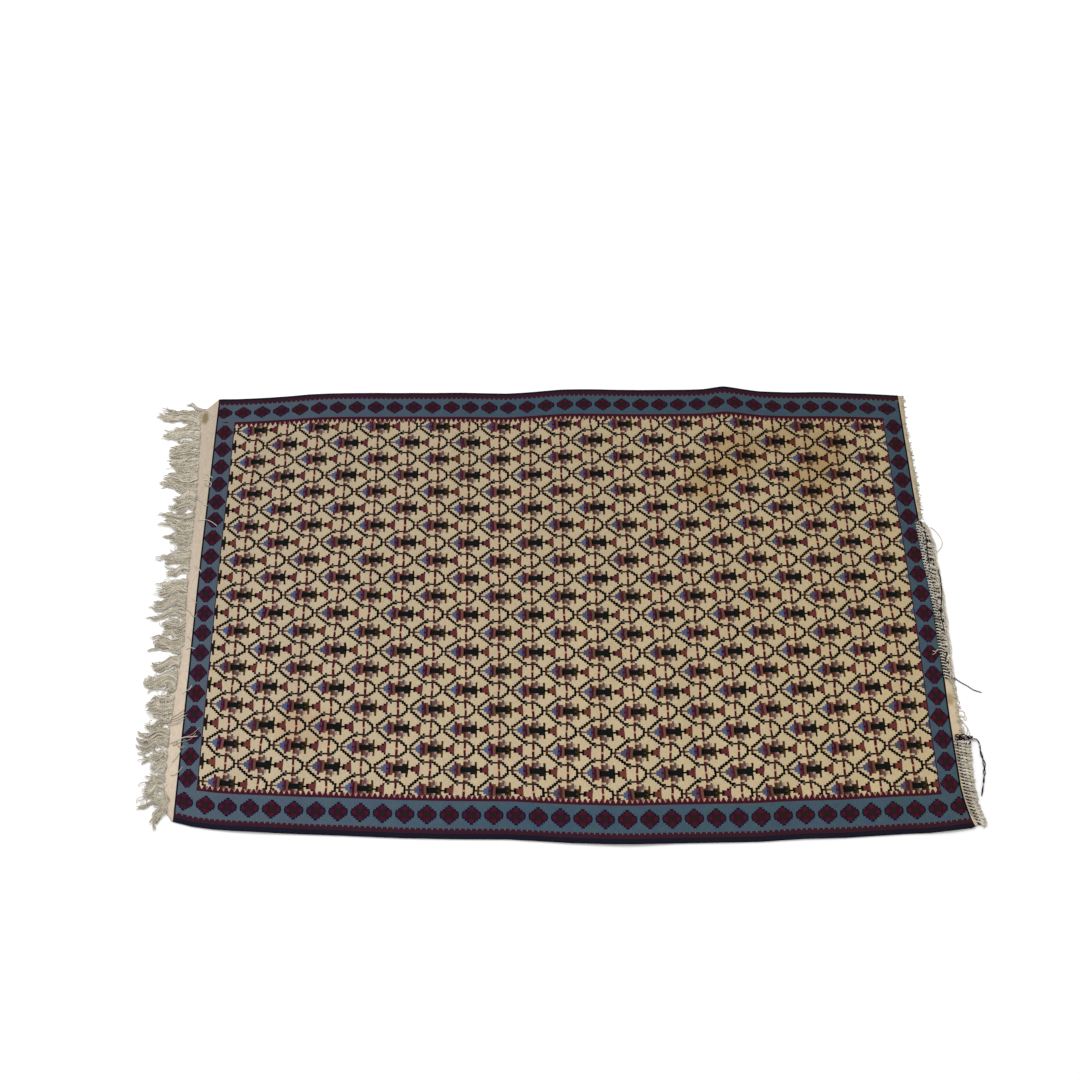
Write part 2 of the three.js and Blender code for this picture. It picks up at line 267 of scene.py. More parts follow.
# The yarns of the chart, as sRGB.
YARNS = {
    "I": "#a89878",  # undyed wool, aged to ivory
    "Z": "#a0705c",  # undyed wool that the madder has bled into
    "K": "#080504",  # corroded brown-black
    "G": "#0a100e",  # green-black
    "Y": "#181208",  # the wings: green-black, or olive in every other line of motifs
    "B": "#40506e",  # indigo
    "P": "#483048",  # purple
    "M": "#300810",  # deep madder
    "E": "#582028",  # madder, rosier
    "R": "#643c38",  # rose-brown
    "D": "#3c2018",  # red-brown
    "C": "#502028",  # madder red
    "Q": "#8c7468",  # pink
    "N": "#504640",  # mauve-grey
    "S": "#504840",  # the bud's stem
}
CODES = "".join(YARNS)

# The dye lots that a motif's yarns vary towards: (yarn, sRGB, and "row" for every other line of motifs or
# the number that picks how far each motif goes).
OTHER_DYES = [
    ("Y", "#382810", "row"),
    ("B", "#3c3c4c", 0),
    ("C", "#5c3024", 1),
    ("R", "#4c3c2c", 2),
    ("M", "#401418", 0),
    ("P", "#382430", 1),
]

# The cord's and the knot's wool is black, with stretches of red and of white: (the noise where a colour
# starts, sRGB).
DARK_WOOL = [(0.0, "#040203"), (0.52, "#060304"), (0.56, "#30080e"), (0.62, "#3a0c16"), (0.66, "#b09a98")]


def linear(colour):
    """An sRGB hex colour as linear RGBA."""
    parts = [int(colour[i : i + 2], 16) / 255 for i in (1, 3, 5)]
    return [c / 12.92 if c <= 0.04045 else ((c + 0.055) / 1.055) ** 2.4 for c in parts] + [1.0]


def add(tree, kind, sockets=(), operation=None, stops=(), **settings):
    """Adds a node with its inputs in order or by name, its operation, its ramp's stops of flat colour and
    its other settings. A colour is given as sRGB hex or as linear RGBA. Returns the node's first output."""
    node = tree.nodes.new("ShaderNode" + kind)
    if operation:
        node.operation = operation
    for name, value in settings.items():
        setattr(node, name, value)
    if stops:
        node.color_ramp.interpolation = "CONSTANT"
    for _ in stops[2:]:
        node.color_ramp.elements.new(1.0)
    for stop, (position, colour) in zip(node.color_ramp.elements if stops else (), stops):
        stop.position = position
        stop.color = linear(colour) if isinstance(colour, str) else colour
    inputs = [s for s in node.inputs if s.enabled]
    if isinstance(sockets, dict):
        inputs = [next(s for s in inputs if s.name == name) for name in sockets]
        sockets = sockets.values()
    for socket, value in zip(inputs, sockets):
        if isinstance(value, bpy.types.NodeSocket):
            tree.links.new(value, socket)
        else:
            socket.default_value = linear(value) if isinstance(value, str) else value
    return next((s for s in node.outputs if s.enabled), None)


# ---------- camera, floor and light ----------

CAMERA_BACK = 2.040  # from the middle of the weave, in metres
CAMERA_ASIDE = -0.073
CAMERA_HEIGHT = 3.458
CAMERA_DOWN = 57.5  # degrees below level
CAMERA_PAN = -0.6
LENS = 55.0
FLOOR_HALF = 12.0
FLOOR_GAP = 0.0004  # the floor's surface is this far under the rug
SKY_STRENGTH = 0.78
SOFTBOX_SIZE = 3.4
SOFTBOX_POWER = 170.0
SOFTBOX_PLACE = (-1.2, 2.6, 5.0)


def make_camera():
    data = bpy.data.cameras.new("camera")
    data.sensor_width = 36.0
    data.lens = LENS
    camera = bpy.data.objects.new("camera", data)
    camera.location = (MIDDLE_X + CAMERA_ASIDE, MIDDLE_Y - CAMERA_BACK, CAMERA_HEIGHT)
    camera.rotation_euler = (math.radians(90.0 - CAMERA_DOWN), 0.0, math.radians(CAMERA_PAN))
    bpy.context.scene.collection.objects.link(camera)
    bpy.context.scene.camera = camera


def new_material(name):
    material = bpy.data.materials.new(name)
    material.use_nodes = True
    material.node_tree.nodes.clear()
    return material


def finish_material(material, sockets):
    """Ends a material in one shader with these inputs."""
    tree = material.node_tree
    shader = add(tree, "BsdfPrincipled", sockets)
    add(tree, "OutputMaterial", {"Surface": shader})


def new_object(name, mesh):
    piece = bpy.data.objects.new(name, mesh)
    bpy.context.scene.collection.objects.link(piece)
    return piece


def make_stage():
    """A wide pale floor, a soft sky and one large softbox behind and above the rug."""
    mesh = bpy.data.meshes.new("floor")
    corners = [(x * FLOOR_HALF, y * FLOOR_HALF, 0) for x, y in ((-1, -1), (1, -1), (1, 1), (-1, 1))]
    mesh.from_pydata(corners, [], [(0, 1, 2, 3)])
    floor = new_object("floor", mesh)
    floor.location.z = -FLOOR_GAP
    paint = new_material("matt_white_paper")
    finish_material(paint, {"Base Color": "#fafafa", "Roughness": 0.9, "Specular IOR Level": 0.2})
    mesh.materials.append(paint)

    world = bpy.data.worlds.new("soft_sky")
    world.use_nodes = True
    bpy.context.scene.world = world
    sky = world.node_tree.nodes["Background"]
    sky.inputs["Color"].default_value = linear("#ffffff")
    sky.inputs["Strength"].default_value = SKY_STRENGTH

    data = bpy.data.lights.new("softbox", "AREA")
    data.shape = "DISK"
    data.size = SOFTBOX_SIZE
    data.energy = SOFTBOX_POWER
    softbox = bpy.data.objects.new("softbox", data)
    softbox.location = SOFTBOX_PLACE
    softbox.rotation_euler = (-softbox.location).to_track_quat("-Z", "Y").to_euler()
    bpy.context.scene.collection.objects.link(softbox)
    bpy.context.scene.view_settings.view_transform = "Standard"


# ---------- the cloth's outline, read from the CAD cloth ----------


def outline_points(node):
    """The points of a flat node's outline, in order round it."""
    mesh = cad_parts[node].data
    beside = {}
    for face in mesh.polygons:
        if abs(face.normal.z) > 0.5:
            continue
        for pair in face.edge_keys:
            first, second = (tuple(round(c, 5) for c in mesh.vertices[i].co.xy) for i in pair)
            if first != second:
                beside.setdefault(first, set()).add(second)
                beside.setdefault(second, set()).add(first)
    loop = [min(beside)]
    while len(loop) < len(beside):
        loop.append(next(p for p in beside[loop[-1]] if p not in loop[-2:] and p != loop[0]))
    return np.array(loop)


def long_runs(loop):
    """The two longest stretches of an outline that run lengthways, the near one first."""
    steps = np.roll(loop, -1, axis=0) - loop
    lengthways = np.abs(steps[:, 0]) > 2 * np.abs(steps[:, 1])
    runs = [[]]
    for i in np.roll(np.arange(len(loop)), -int(np.argmin(lengthways))):
        if lengthways[i] or runs[-1]:
            runs[-1].append(i)
        if not lengthways[i] and runs[-1]:
            runs.append([])
    runs = sorted((loop[run] for run in runs if run), key=lambda run: np.ptp(run[:, 0]))
    return sorted(runs[-2:], key=lambda run: run[:, 1].mean())


class Outline:
    """The cloth's four edges, and the place of any point between them."""

    def __init__(self, node):
        loop = outline_points(node)
        self.near, self.far = (run[np.argsort(run[:, 0])] for run in long_runs(loop))
        inside = {tuple(p) for run in (self.near, self.far) for p in run[1:-1]}
        ends = np.array([p for p in loop if tuple(p) not in inside])
        middle = loop[:, 0].mean()
        self.left = self.end_line(ends[ends[:, 0] < middle])
        self.right = self.end_line(ends[ends[:, 0] > middle])

    def sides(self, x):
        return np.interp(x, *self.near.T), np.interp(x, *self.far.T)

    def end_line(self, points):
        """An end's x at each share of the width."""
        near, far = self.sides(points[:, 0])
        share = (points[:, 1] - near) / (far - near)
        order = np.argsort(share)
        return share[order], points[order, 0]

    def place(self, along, across):
        """x and y at a share of the length and of the width."""
        left = np.interp(across, *self.left)
        right = np.interp(across, *self.right)
        x = left + along * (right - left)
        near, far = self.sides(x)
        return x, near + across * (far - near)


outline = Outline("kilim_cloth")


# ---------- the cloth ----------


def table(rows, at):
    """The second column of a short table at these places in its first."""
    return np.interp(at, *zip(*rows))


def smooth(heights, reach):
    """Averages a grid of heights over this many cells each way."""
    for axis in (0, 1):
        count = heights.shape[axis]
        shifts = [np.clip(np.arange(count) + k, 0, count - 1) for k in range(-reach, reach + 1)]
        heights = np.mean([heights.take(shift, axis=axis) for shift in shifts], axis=0)
    return heights


def cloth_lift(x, y):
    """How high the cloth's underside lies: the CAD cloth's ridges, and small puckers."""
    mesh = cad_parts["kilim_cloth"].data
    tree = BVHTree.FromPolygons([v.co for v in mesh.vertices], [f.vertices for f in mesh.polygons])
    lift = np.zeros(x.shape)
    for place in np.ndindex(x.shape):
        top = tree.ray_cast(Vector((x[place], y[place], 0.1)), Vector((0, 0, -1)))[0]
        lift[place] = top.z - CLOTH_THICKNESS * MM if top else 0.0
    lift = smooth(smooth(np.maximum(lift, 0.0), 2), 2)
    for place in np.ndindex(x.shape):
        broad = noise.noise(Vector((x[place] * 7.0, y[place] * 9.0, 3.1)))
        fine = noise.noise(Vector((x[place] * 26.0, y[place] * 31.0, 8.7)))
        lift[place] += MM * (PUCKERS["broad"] * broad + PUCKERS["fine"] * fine + PUCKERS["clear"])
    return np.maximum(lift, 0.0)


def weave_places(x, y, across):
    """Where each point is in the weave, as pairs for the UV maps: in the field in chart cells, in the long
    borders in lozenges and in rows outwards, and in the end borders in lozenges and in cells outwards."""
    along_mm = (x - MIDDLE_X) / MM
    across_mm = (y - MIDDLE_Y) / MM
    right = np.clip((along_mm + HALF_LENGTH) / (2 * HALF_LENGTH), 0, 1)
    pull = right**6 * table(PULL_RIGHT, across_mm) + (1 - right) ** 6 * table(PULL_LEFT, across_mm)
    cells = FIELD_ENDS["left"] + (along_mm - pull - FIELD_LEFT) / CELL_LENGTH
    inside = (across - FIELD_SIDES["near"]) / (FIELD_SIDES["far"] - FIELD_SIDES["near"])
    rows = FIELD_ROWS["near"] + inside * (FIELD_ROWS["far"] - FIELD_ROWS["near"])
    near = across < 0.5
    left = along_mm < 0
    return {
        "weave": (cells, rows),
        "long_border": (
            np.where(near, table(NEAR_LOZENGES, along_mm), table(FAR_LOZENGES, along_mm)),
            np.where(near, table(NEAR_BORDER, across), table(FAR_BORDER, across)),
        ),
        "end_border": (
            np.where(left, table(LEFT_LOZENGES, across_mm), table(RIGHT_LOZENGES, across_mm)),
            np.where(left, FIELD_ENDS["left"] - cells, cells - FIELD_ENDS["right"]),
        ),
    }


def make_cloth():
    """The woven cloth: one closed sheet on the CAD cloth's outline, with rounded selvedges."""
    width = (cloth_high.y - cloth_low.y) / MM
    edge = np.array(SELVEDGE_STEPS) / width
    bends = [share for share, _ in NEAR_BORDER + FAR_BORDER]
    rows = np.concatenate([np.arange(0.01, 0.99, GRID_STEP / width), edge, 1 - edge, bends])
    rows = np.unique(np.round(rows, 5))
    rows = rows[np.concatenate([[True], np.diff(rows) > SAME_ROW])]
    rows[-1] = 1.0
    steps = int((cloth_high.x - cloth_low.x) / (GRID_STEP * MM))
    along, across = np.meshgrid(np.linspace(0, 1, steps), rows)
    x, y = outline.place(along, across)
    maps = weave_places(x, y, across)
    skirt = np.clip(maps["end_border"][1] - END_BORDER["edge"] + 0.5, 0, 1)
    thick = CLOTH_THICKNESS + (SKIRT_THICKNESS - CLOTH_THICKNESS) * skirt
    from_edge = np.minimum(across, 1 - across) * width
    thick = thick + SELVEDGE_CORD * (1 - skirt) * np.exp(-((from_edge / SELVEDGE_CORD_IN - 1) ** 2))
    inwards = np.clip(from_edge / SELVEDGE_RADIUS, 0, 1)
    rounded = EDGE_THICKNESS + (1 - EDGE_THICKNESS) * np.sqrt(1 - (1 - inwards) ** 2)
    half = 0.5 * MM * thick * rounded
    middle = cloth_lift(x, y) + 0.5 * MM * thick

    count = x.size
    layers = [np.stack([x.ravel(), y.ravel(), z.ravel()], axis=1) for z in (middle + half, middle - half)]
    index = np.arange(count).reshape(x.shape)
    cells = np.stack([index[:-1, :-1], index[:-1, 1:], index[1:, 1:], index[1:, :-1]], axis=-1)
    cells = cells.reshape(-1, 4)
    rim = np.concatenate([index[0, :-1], index[:-1, -1], index[-1, :0:-1], index[:0:-1, 0]])
    ahead = np.roll(rim, -1)
    walls = np.stack([rim, rim + count, ahead + count, ahead], axis=1)
    faces = np.concatenate([cells, cells[:, ::-1] + count, walls])
    mesh = bpy.data.meshes.new("kilim_weave")
    mesh.from_pydata(np.concatenate(layers).tolist(), [], faces.tolist())
    corners = np.zeros(len(mesh.loops), dtype=np.int32)
    mesh.loops.foreach_get("vertex_index", corners)
    maps["OFBake"] = (along, across)
    for name, pair in maps.items():
        values = np.stack([part.ravel() for part in pair], axis=1)[corners % count]
        mesh.uv_layers.new(name=name).data.foreach_set("uv", values.ravel())
    mesh.polygons.foreach_set("use_smooth", [True] * len(faces))
    mesh.materials.append(flat_woven_wool())
    mesh.update()
    cloth = new_object("kilim_weave", mesh)
    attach(cloth, "root")
    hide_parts("kilim_cloth")
    return cloth


# ---------- the woven wool ----------


def chart_row(tree, letters, place):
    """One row of the chart: at a place along it, the number of its yarn as a share of all the yarns."""
    starts = [i for i, letter in enumerate(letters) if i == 0 or letter != letters[i - 1]]
    stops = [(i / len(letters), [yarn_share(letters[i])] * 3 + [1.0]) for i in starts]
    return add(tree, "ValToRGB", {"Fac": place}, stops=stops)


def yarn_share(letter):
    return (CODES.index(letter) + 0.5) / len(CODES)


def field_colour(tree, u, v):
    """The chart's colour at a cell, with the dye lots of each motif."""
    # PINGPONG folds the repeat on its two lines of symmetry, the middles of both lines of motifs.
    row = add(tree, "Math", [v, REPEAT_ACROSS / 2], "PINGPONG")
    shifted = add(tree, "Math", [row, REPEAT_ACROSS / 4], "GREATER_THAN")
    mirrored = add(tree, "Math", [REPEAT_ACROSS / 2, row], "SUBTRACT")
    row = add(tree, "Math", [row, mirrored], "MINIMUM")
    start = add(tree, "Math", [shifted, REPEAT_ALONG / 2, -CHART_START], "MULTIPLY_ADD")
    repeat = add(tree, "Math", [u, start], "ADD")
    repeat = add(tree, "Math", [repeat, REPEAT_ALONG], "DIVIDE")
    place = add(tree, "Math", [repeat], "FRACT")
    yarn = chart_row(tree, CHART[0], place)
    for number, letters in enumerate(CHART[1:], start=1):
        past = add(tree, "Math", [row, float(number)], "GREATER_THAN")
        stripe = chart_row(tree, letters, place)
        yarn = add(tree, "Mix", {"Factor": past, "A": yarn, "B": stripe}, data_type="RGBA")
    yarn = add(tree, "SeparateXYZ", [yarn])
    stops = [(number / len(YARNS), colour) for number, colour in enumerate(YARNS.values())]
    colour = add(tree, "ValToRGB", {"Fac": yarn}, stops=stops)

    column = add(tree, "Math", [repeat], "FLOOR")
    line = add(tree, "Math", [v, 2 / REPEAT_ACROSS], "MULTIPLY")
    line = add(tree, "Math", [line], "ROUND")
    motif = add(tree, "CombineXYZ", [column, line])
    lots = add(tree, "TexWhiteNoise", {"Vector": motif}, noise_dimensions="3D").node.outputs["Color"]
    lots = add(tree, "SeparateXYZ", [lots]).node.outputs
    for letter, other, lot in OTHER_DYES:
        same = add(tree, "Math", [yarn, yarn_share(letter), 0.02], "COMPARE")
        amount = shifted if lot == "row" else lots[lot]
        amount = add(tree, "Math", [same, amount], "MULTIPLY")
        colour = add(tree, "Mix", {"Factor": amount, "A": colour, "B": other}, data_type="RGBA")
    return colour


def lozenge_colour(tree, ground, aside, outwards, number, size):
    """A stepped, blunt-ended lozenge of nine parts in a navy outline, on its ground."""
    share = [
        add(tree, "Math", [aside, size["aside"]], "DIVIDE"),
        add(tree, "Math", [outwards, size["out"]], "DIVIDE"),
    ]
    slopes = [add(tree, "Math", share, way) for way in ("ADD", "SUBTRACT")]
    slopes = [add(tree, "Math", [slope], "ABSOLUTE") for slope in slopes]
    furthest = add(tree, "Math", slopes, "MAXIMUM")
    least = add(tree, "Math", slopes, "MINIMUM")
    blunt = add(tree, "Math", [aside], "ABSOLUTE")
    blunt = add(tree, "Math", [blunt, size["blunt"]], "DIVIDE")
    outer = add(tree, "Math", [furthest, blunt], "MAXIMUM")
    lots = add(tree, "TexWhiteNoise", {"W": number}, noise_dimensions="1D")
    tip = add(tree, "Mix", {"Factor": lots, "A": "#3c1018", "B": "#32132a"}, data_type="RGBA")
    parts = [  # what is measured, how far it reaches, and the yarn inside that
        (outer, 1.0, "#11111f"),
        (outer, LOZENGE_INSIDE, tip),
        (least, LOZENGE_BANDS, "#2c0d17"),
        (furthest, LOZENGE_BANDS, "#161b14"),
    ]
    colour = ground
    for measure, reach, yarn in parts:
        inside = add(tree, "Math", [measure, reach], "LESS_THAN")
        if measure is least:
            core = add(tree, "Math", [outer, LOZENGE_INSIDE], "LESS_THAN")
            inside = add(tree, "Math", [inside, core], "MULTIPLY")
        colour = add(tree, "Mix", {"Factor": inside, "A": colour, "B": yarn}, data_type="RGBA")
    return colour


def flat_woven_wool():
    """Hand-spun, naturally dyed wool in slit tapestry weave: matt, finely ribbed along the warps, with
    stepped edges to every shape, and dyes that change a little from one lot of yarn to the next."""
    material = new_material("flat_woven_wool")
    tree = material.node_tree
    place = add(tree, "TexCoord").node.outputs["Object"]

    # Nothing in a hand weave is straight: the shapes wander by up to a few millimetres over a hand's width,
    # and each warp's stretch of a colour ends a little before or after the next one's.
    shifts = []
    for size, detail, reach in (("wander", 1.0, (3.2, 1.8, 0.0)), ("ragged", 0.0, (0.5, 0.3, 0.0))):
        shift = add(tree, "TexNoise", {"Vector": place, "Scale": PER_METRE[size], "Detail": detail})
        shift = shift.node.outputs["Color"]
        shift = add(tree, "VectorMath", [shift, (0.5, 0.5, 0.5)], "SUBTRACT")
        shifts.append(add(tree, "VectorMath", [shift, reach], "MULTIPLY"))
    drift = add(tree, "VectorMath", shifts, "ADD")
    maps = {}
    for name in ("weave", "long_border", "end_border"):
        point = add(tree, "UVMap", uv_map=name)
        if name == "weave":
            point = add(tree, "VectorMath", [point, drift], "ADD")
        maps[name] = add(tree, "SeparateXYZ", [point]).node.outputs
    u, v = maps["weave"]["X"], maps["weave"]["Y"]
    lozenge, outwards = maps["long_border"]["X"], maps["long_border"]["Y"]
    end_lozenge, end_outwards = maps["end_border"]["X"], maps["end_border"]["Y"]

    field = field_colour(tree, u, v)

    # The borders' ground: slate blue and grey green wool, unevenly spun together and faded to the left.
    patches = add(tree, "TexNoise", {"Vector": place, "Scale": PER_METRE["spun"], "Detail": 2.0})
    stops = [(0.0, "#374658"), (0.4, "#384954"), (0.6, "#394d4e")]
    teal = add(tree, "ValToRGB", {"Fac": patches}, stops=stops)
    x, y = add(tree, "SeparateXYZ", [place]).node.outputs[:2]
    faded = add(tree, "MapRange", {"Value": x, "From Min": 0.0, "From Max": -0.9, "To Max": 0.7})
    teal = add(tree, "Mix", {"Factor": faded, "A": teal, "B": "#4a5356"}, data_type="RGBA")
    numbers = [add(tree, "Math", [number], "ROUND") for number in (lozenge, end_lozenge)]
    aside = add(tree, "Math", [lozenge, numbers[0]], "SUBTRACT")
    row = add(tree, "Math", [outwards, LOZENGES_START], "SUBTRACT")
    row = add(tree, "Math", [row], "FLOOR")
    row = add(tree, "Math", [row, (LOZENGE_ROWS - 1) / 2], "SUBTRACT")
    long_teal = lozenge_colour(tree, teal, aside, row, numbers[0], LONG_LOZENGE)
    aside = add(tree, "Math", [end_lozenge, numbers[1]], "SUBTRACT")
    aside = add(tree, "Math", [aside, 1 / END_LOZENGE_ROWS], "SNAP")
    aside = add(tree, "Math", [aside, 0.5 / END_LOZENGE_ROWS], "ADD")
    out = add(tree, "Math", [end_outwards, END_BORDER["lozenge"]], "SUBTRACT")
    end_teal = lozenge_colour(tree, teal, aside, out, numbers[1], END_LOZENGE)

    # The madder has bled from the long borders' red teeth, and teal notches the maroon band's inner edge.
    tooth = add(tree, "Math", [lozenge, TEETH_PER_LOZENGE], "MULTIPLY")
    tooth = add(tree, "Math", [tooth, 0.5], "PINGPONG")
    gap = add(tree, "Math", [outwards, *TOOTH_GAP], "MULTIPLY_ADD")
    in_tooth = add(tree, "Math", [tooth, gap], "GREATER_THAN")
    inner, outer = LONG_BORDER["teeth"], LONG_BORDER["red"]
    bled = add(tree, "MapRange", {"Value": outwards, "From Min": inner, "From Max": outer, "To Max": 0.8})
    bled = add(tree, "Mix", {"Factor": bled, "A": field, "B": "#a98577"}, data_type="RGBA")
    teeth = add(tree, "Mix", {"Factor": in_tooth, "A": bled, "B": "#3c1118"}, data_type="RGBA")
    notch = add(tree, "Math", [tooth, NOTCH["half"]], "LESS_THAN")
    shallow = add(tree, "Math", [outwards, LONG_BORDER["maroon"] + NOTCH["deep"]], "LESS_THAN")
    notch = add(tree, "Math", [notch, shallow], "MULTIPLY")
    maroon = add(tree, "Mix", {"Factor": notch, "A": "#2f161f", "B": "#535058"}, data_type="RGBA")

    # Each band covers all that lies further out, and a later band covers an earlier one: at the ends a thin
    # purple line and the teal, along the sides the red teeth and line, the teal, the maroon and the black,
    # and at the ends again a black line and the plain skirt.
    in_field = add(tree, "Math", [end_outwards, 0.0], "LESS_THAN")
    before_maroon = add(tree, "Math", [outwards, LONG_BORDER["maroon"]], "LESS_THAN")
    bands = [  # what is measured, where the band starts on it, where it is kept, and its yarn
        (end_outwards, END_BORDER["purple"], None, "#2c1424"),
        (end_outwards, END_BORDER["teal"], None, end_teal),
        (outwards, LONG_BORDER["teeth"], in_field, teeth),
        (outwards, LONG_BORDER["red"], in_field, "#35111b"),
        (outwards, LONG_BORDER["teal"], None, long_teal),
        (outwards, LONG_BORDER["maroon"], None, maroon),
        (outwards, LONG_BORDER["dark"], None, "#14131e"),
        (end_outwards, END_BORDER["black"], before_maroon, "#0b0a10"),
        (end_outwards, END_BORDER["edge"], None, "#b4a58c"),
    ]
    wool = field
    for measure, start, kept, yarn in bands:
        past = add(tree, "Math", [measure, start], "GREATER_THAN")
        if kept is not None:
            past = add(tree, "Math", [past, kept], "MULTIPLY")
        wool = add(tree, "Mix", {"Factor": past, "A": wool, "B": yarn}, data_type="RGBA")

    # Spills, and the marks of age.
    for stain_x, stain_y, half_x, half_y, colour, strength in STAINS:
        middle = (MIDDLE_X + stain_x * MM, MIDDLE_Y + stain_y * MM, 0.0)
        spread = (1 / (half_x * MM), 1 / (half_y * MM), 0.0)
        away = add(tree, "VectorMath", [place, middle], "SUBTRACT")
        away = add(tree, "VectorMath", [away, spread], "MULTIPLY")
        away = add(tree, "VectorMath", [away], "LENGTH").node.outputs["Value"]
        near = add(tree, "MapRange", {"Value": away, "From Min": 1.15, "From Max": 0.6, "To Max": strength})
        mixed = {"Factor": near, "A": wool, "B": colour}
        wool = add(tree, "Mix", mixed, data_type="RGBA", blend_type="MULTIPLY")

    # The yarn is hand spun, so each shot of weft is a little thicker, thinner, darker or lighter along its
    # length, and each batch of dye shows as a faint band right across.
    shots = add(tree, "VectorMath", [place, (1.0, 0.3, 1.0)], "MULTIPLY")
    shots = {"Vector": shots, "Scale": PER_METRE["shot"], "Detail": 2.0, "Roughness": 0.7}
    shots = add(tree, "TexNoise", shots)
    shots = add(tree, "Math", [shots, 0.5, 0.75], "MULTIPLY_ADD")
    batches = add(tree, "VectorMath", [place, (1.0, 0.12, 1.0)], "MULTIPLY")
    batches = add(tree, "TexNoise", {"Vector": batches, "Scale": PER_METRE["batch"], "Detail": 2.0})
    batches = add(tree, "Math", [batches, 0.24, 0.88], "MULTIPLY_ADD")
    shade = add(tree, "Math", [shots, batches], "MULTIPLY")
    wool = add(tree, "VectorMath", {"Vector": wool, "Scale": shade}, "SCALE")

    # Painted light and shade: the colour is made paler along the near side, and darker and yellower towards
    # the far right.
    painted_light_tint = add(tree, "MapRange", {"Value": x, "From Min": -0.7, "From Max": 0.8})
    tints = {"Factor": painted_light_tint, "A": [0.98, 0.99, 1.12, 1.0], "B": [0.97, 0.95, 0.92, 1.0]}
    painted_light_tint = add(tree, "Mix", tints, data_type="RGBA")
    painted_light_level = {"Value": y, "From Min": 0.5, "From Max": -0.45, "To Min": 0.99, "To Max": 1.26}
    painted_light_level = add(tree, "MapRange", painted_light_level)
    painted_light_tint = add(tree, "VectorMath", {"Vector": painted_light_tint, "Scale": painted_light_level}, "SCALE")
    output = add(tree, "VectorMath", [wool, painted_light_tint], "MULTIPLY")

    # The warps stand up as fine ribs, about two to each row of the borders, between the sunken slits.
    ribs = add(tree, "Math", [y, math.pi / (RIB * MM)], "MULTIPLY")
    ribs = add(tree, "Math", [ribs], "SINE")
    ribs = add(tree, "Math", [ribs], "ABSOLUTE")
    lumps = add(tree, "TexNoise", {"Vector": place, "Scale": PER_METRE["lump"], "Detail": 1.0})
    height = add(tree, "Math", [ribs, lumps], "ADD")
    bump = add(tree, "Bump", {"Strength": 0.5, "Distance": BUMP_HEIGHT, "Height": height})
    sockets = {"Base Color": output, "Roughness": 0.95, "Specular IOR Level": 0.06, "Normal": bump}
    finish_material(material, sockets)
    return material


# ---------- yarns, cords and fringe ----------

rng = np.random.default_rng(1890)

PLIES = 2  # every plied yarn and cord on the rug is two-ply


def curve_through(points, legs=6):
    """A smooth curve through given points, in their own unit."""
    knots = np.array(points, dtype=float)
    knots = np.vstack([2 * knots[0] - knots[1], knots, 2 * knots[-1] - knots[-2]])
    t = (np.arange(legs) / legs)[:, None]
    curve = []
    for a, b, c, d in zip(knots, knots[1:], knots[2:], knots[3:]):
        bend = (2 * a - 5 * b + 4 * c - d) * t**2 + (3 * b - a - 3 * c + d) * t**3
        curve.append(b + 0.5 * ((c - a) * t + bend))
    return np.vstack(curve + [knots[-2:-1]])


def frames_along(points):
    """At each point of a route, the way ahead, to the side and up."""
    ahead = np.gradient(points, axis=0)
    ahead /= np.linalg.norm(ahead, axis=1, keepdims=True)
    side = np.cross(ahead, (0.0, 0.0, 1.0))
    side /= np.maximum(np.linalg.norm(side, axis=1, keepdims=True), 1e-3)
    return ahead, side, np.cross(side, ahead)


def plied(points, radius, pitch, ply=None):
    """The routes of the yarns that twist together into one cord, whose radius may change along it."""
    _, side, up = frames_along(points)
    run = np.concatenate([[0], np.cumsum(np.linalg.norm(np.diff(points, axis=0), axis=1))])
    radius = radius * np.ones(len(points))
    ply = ply or radius[0] * 0.5
    routes = []
    for number in range(PLIES):
        turn = 2 * math.pi * (run / pitch + number / PLIES)
        offset = np.cos(turn)[:, None] * side + np.sin(turn)[:, None] * up * (ply / radius)[:, None]
        routes.append((points + (radius - ply)[:, None] * offset, ply))
    return routes


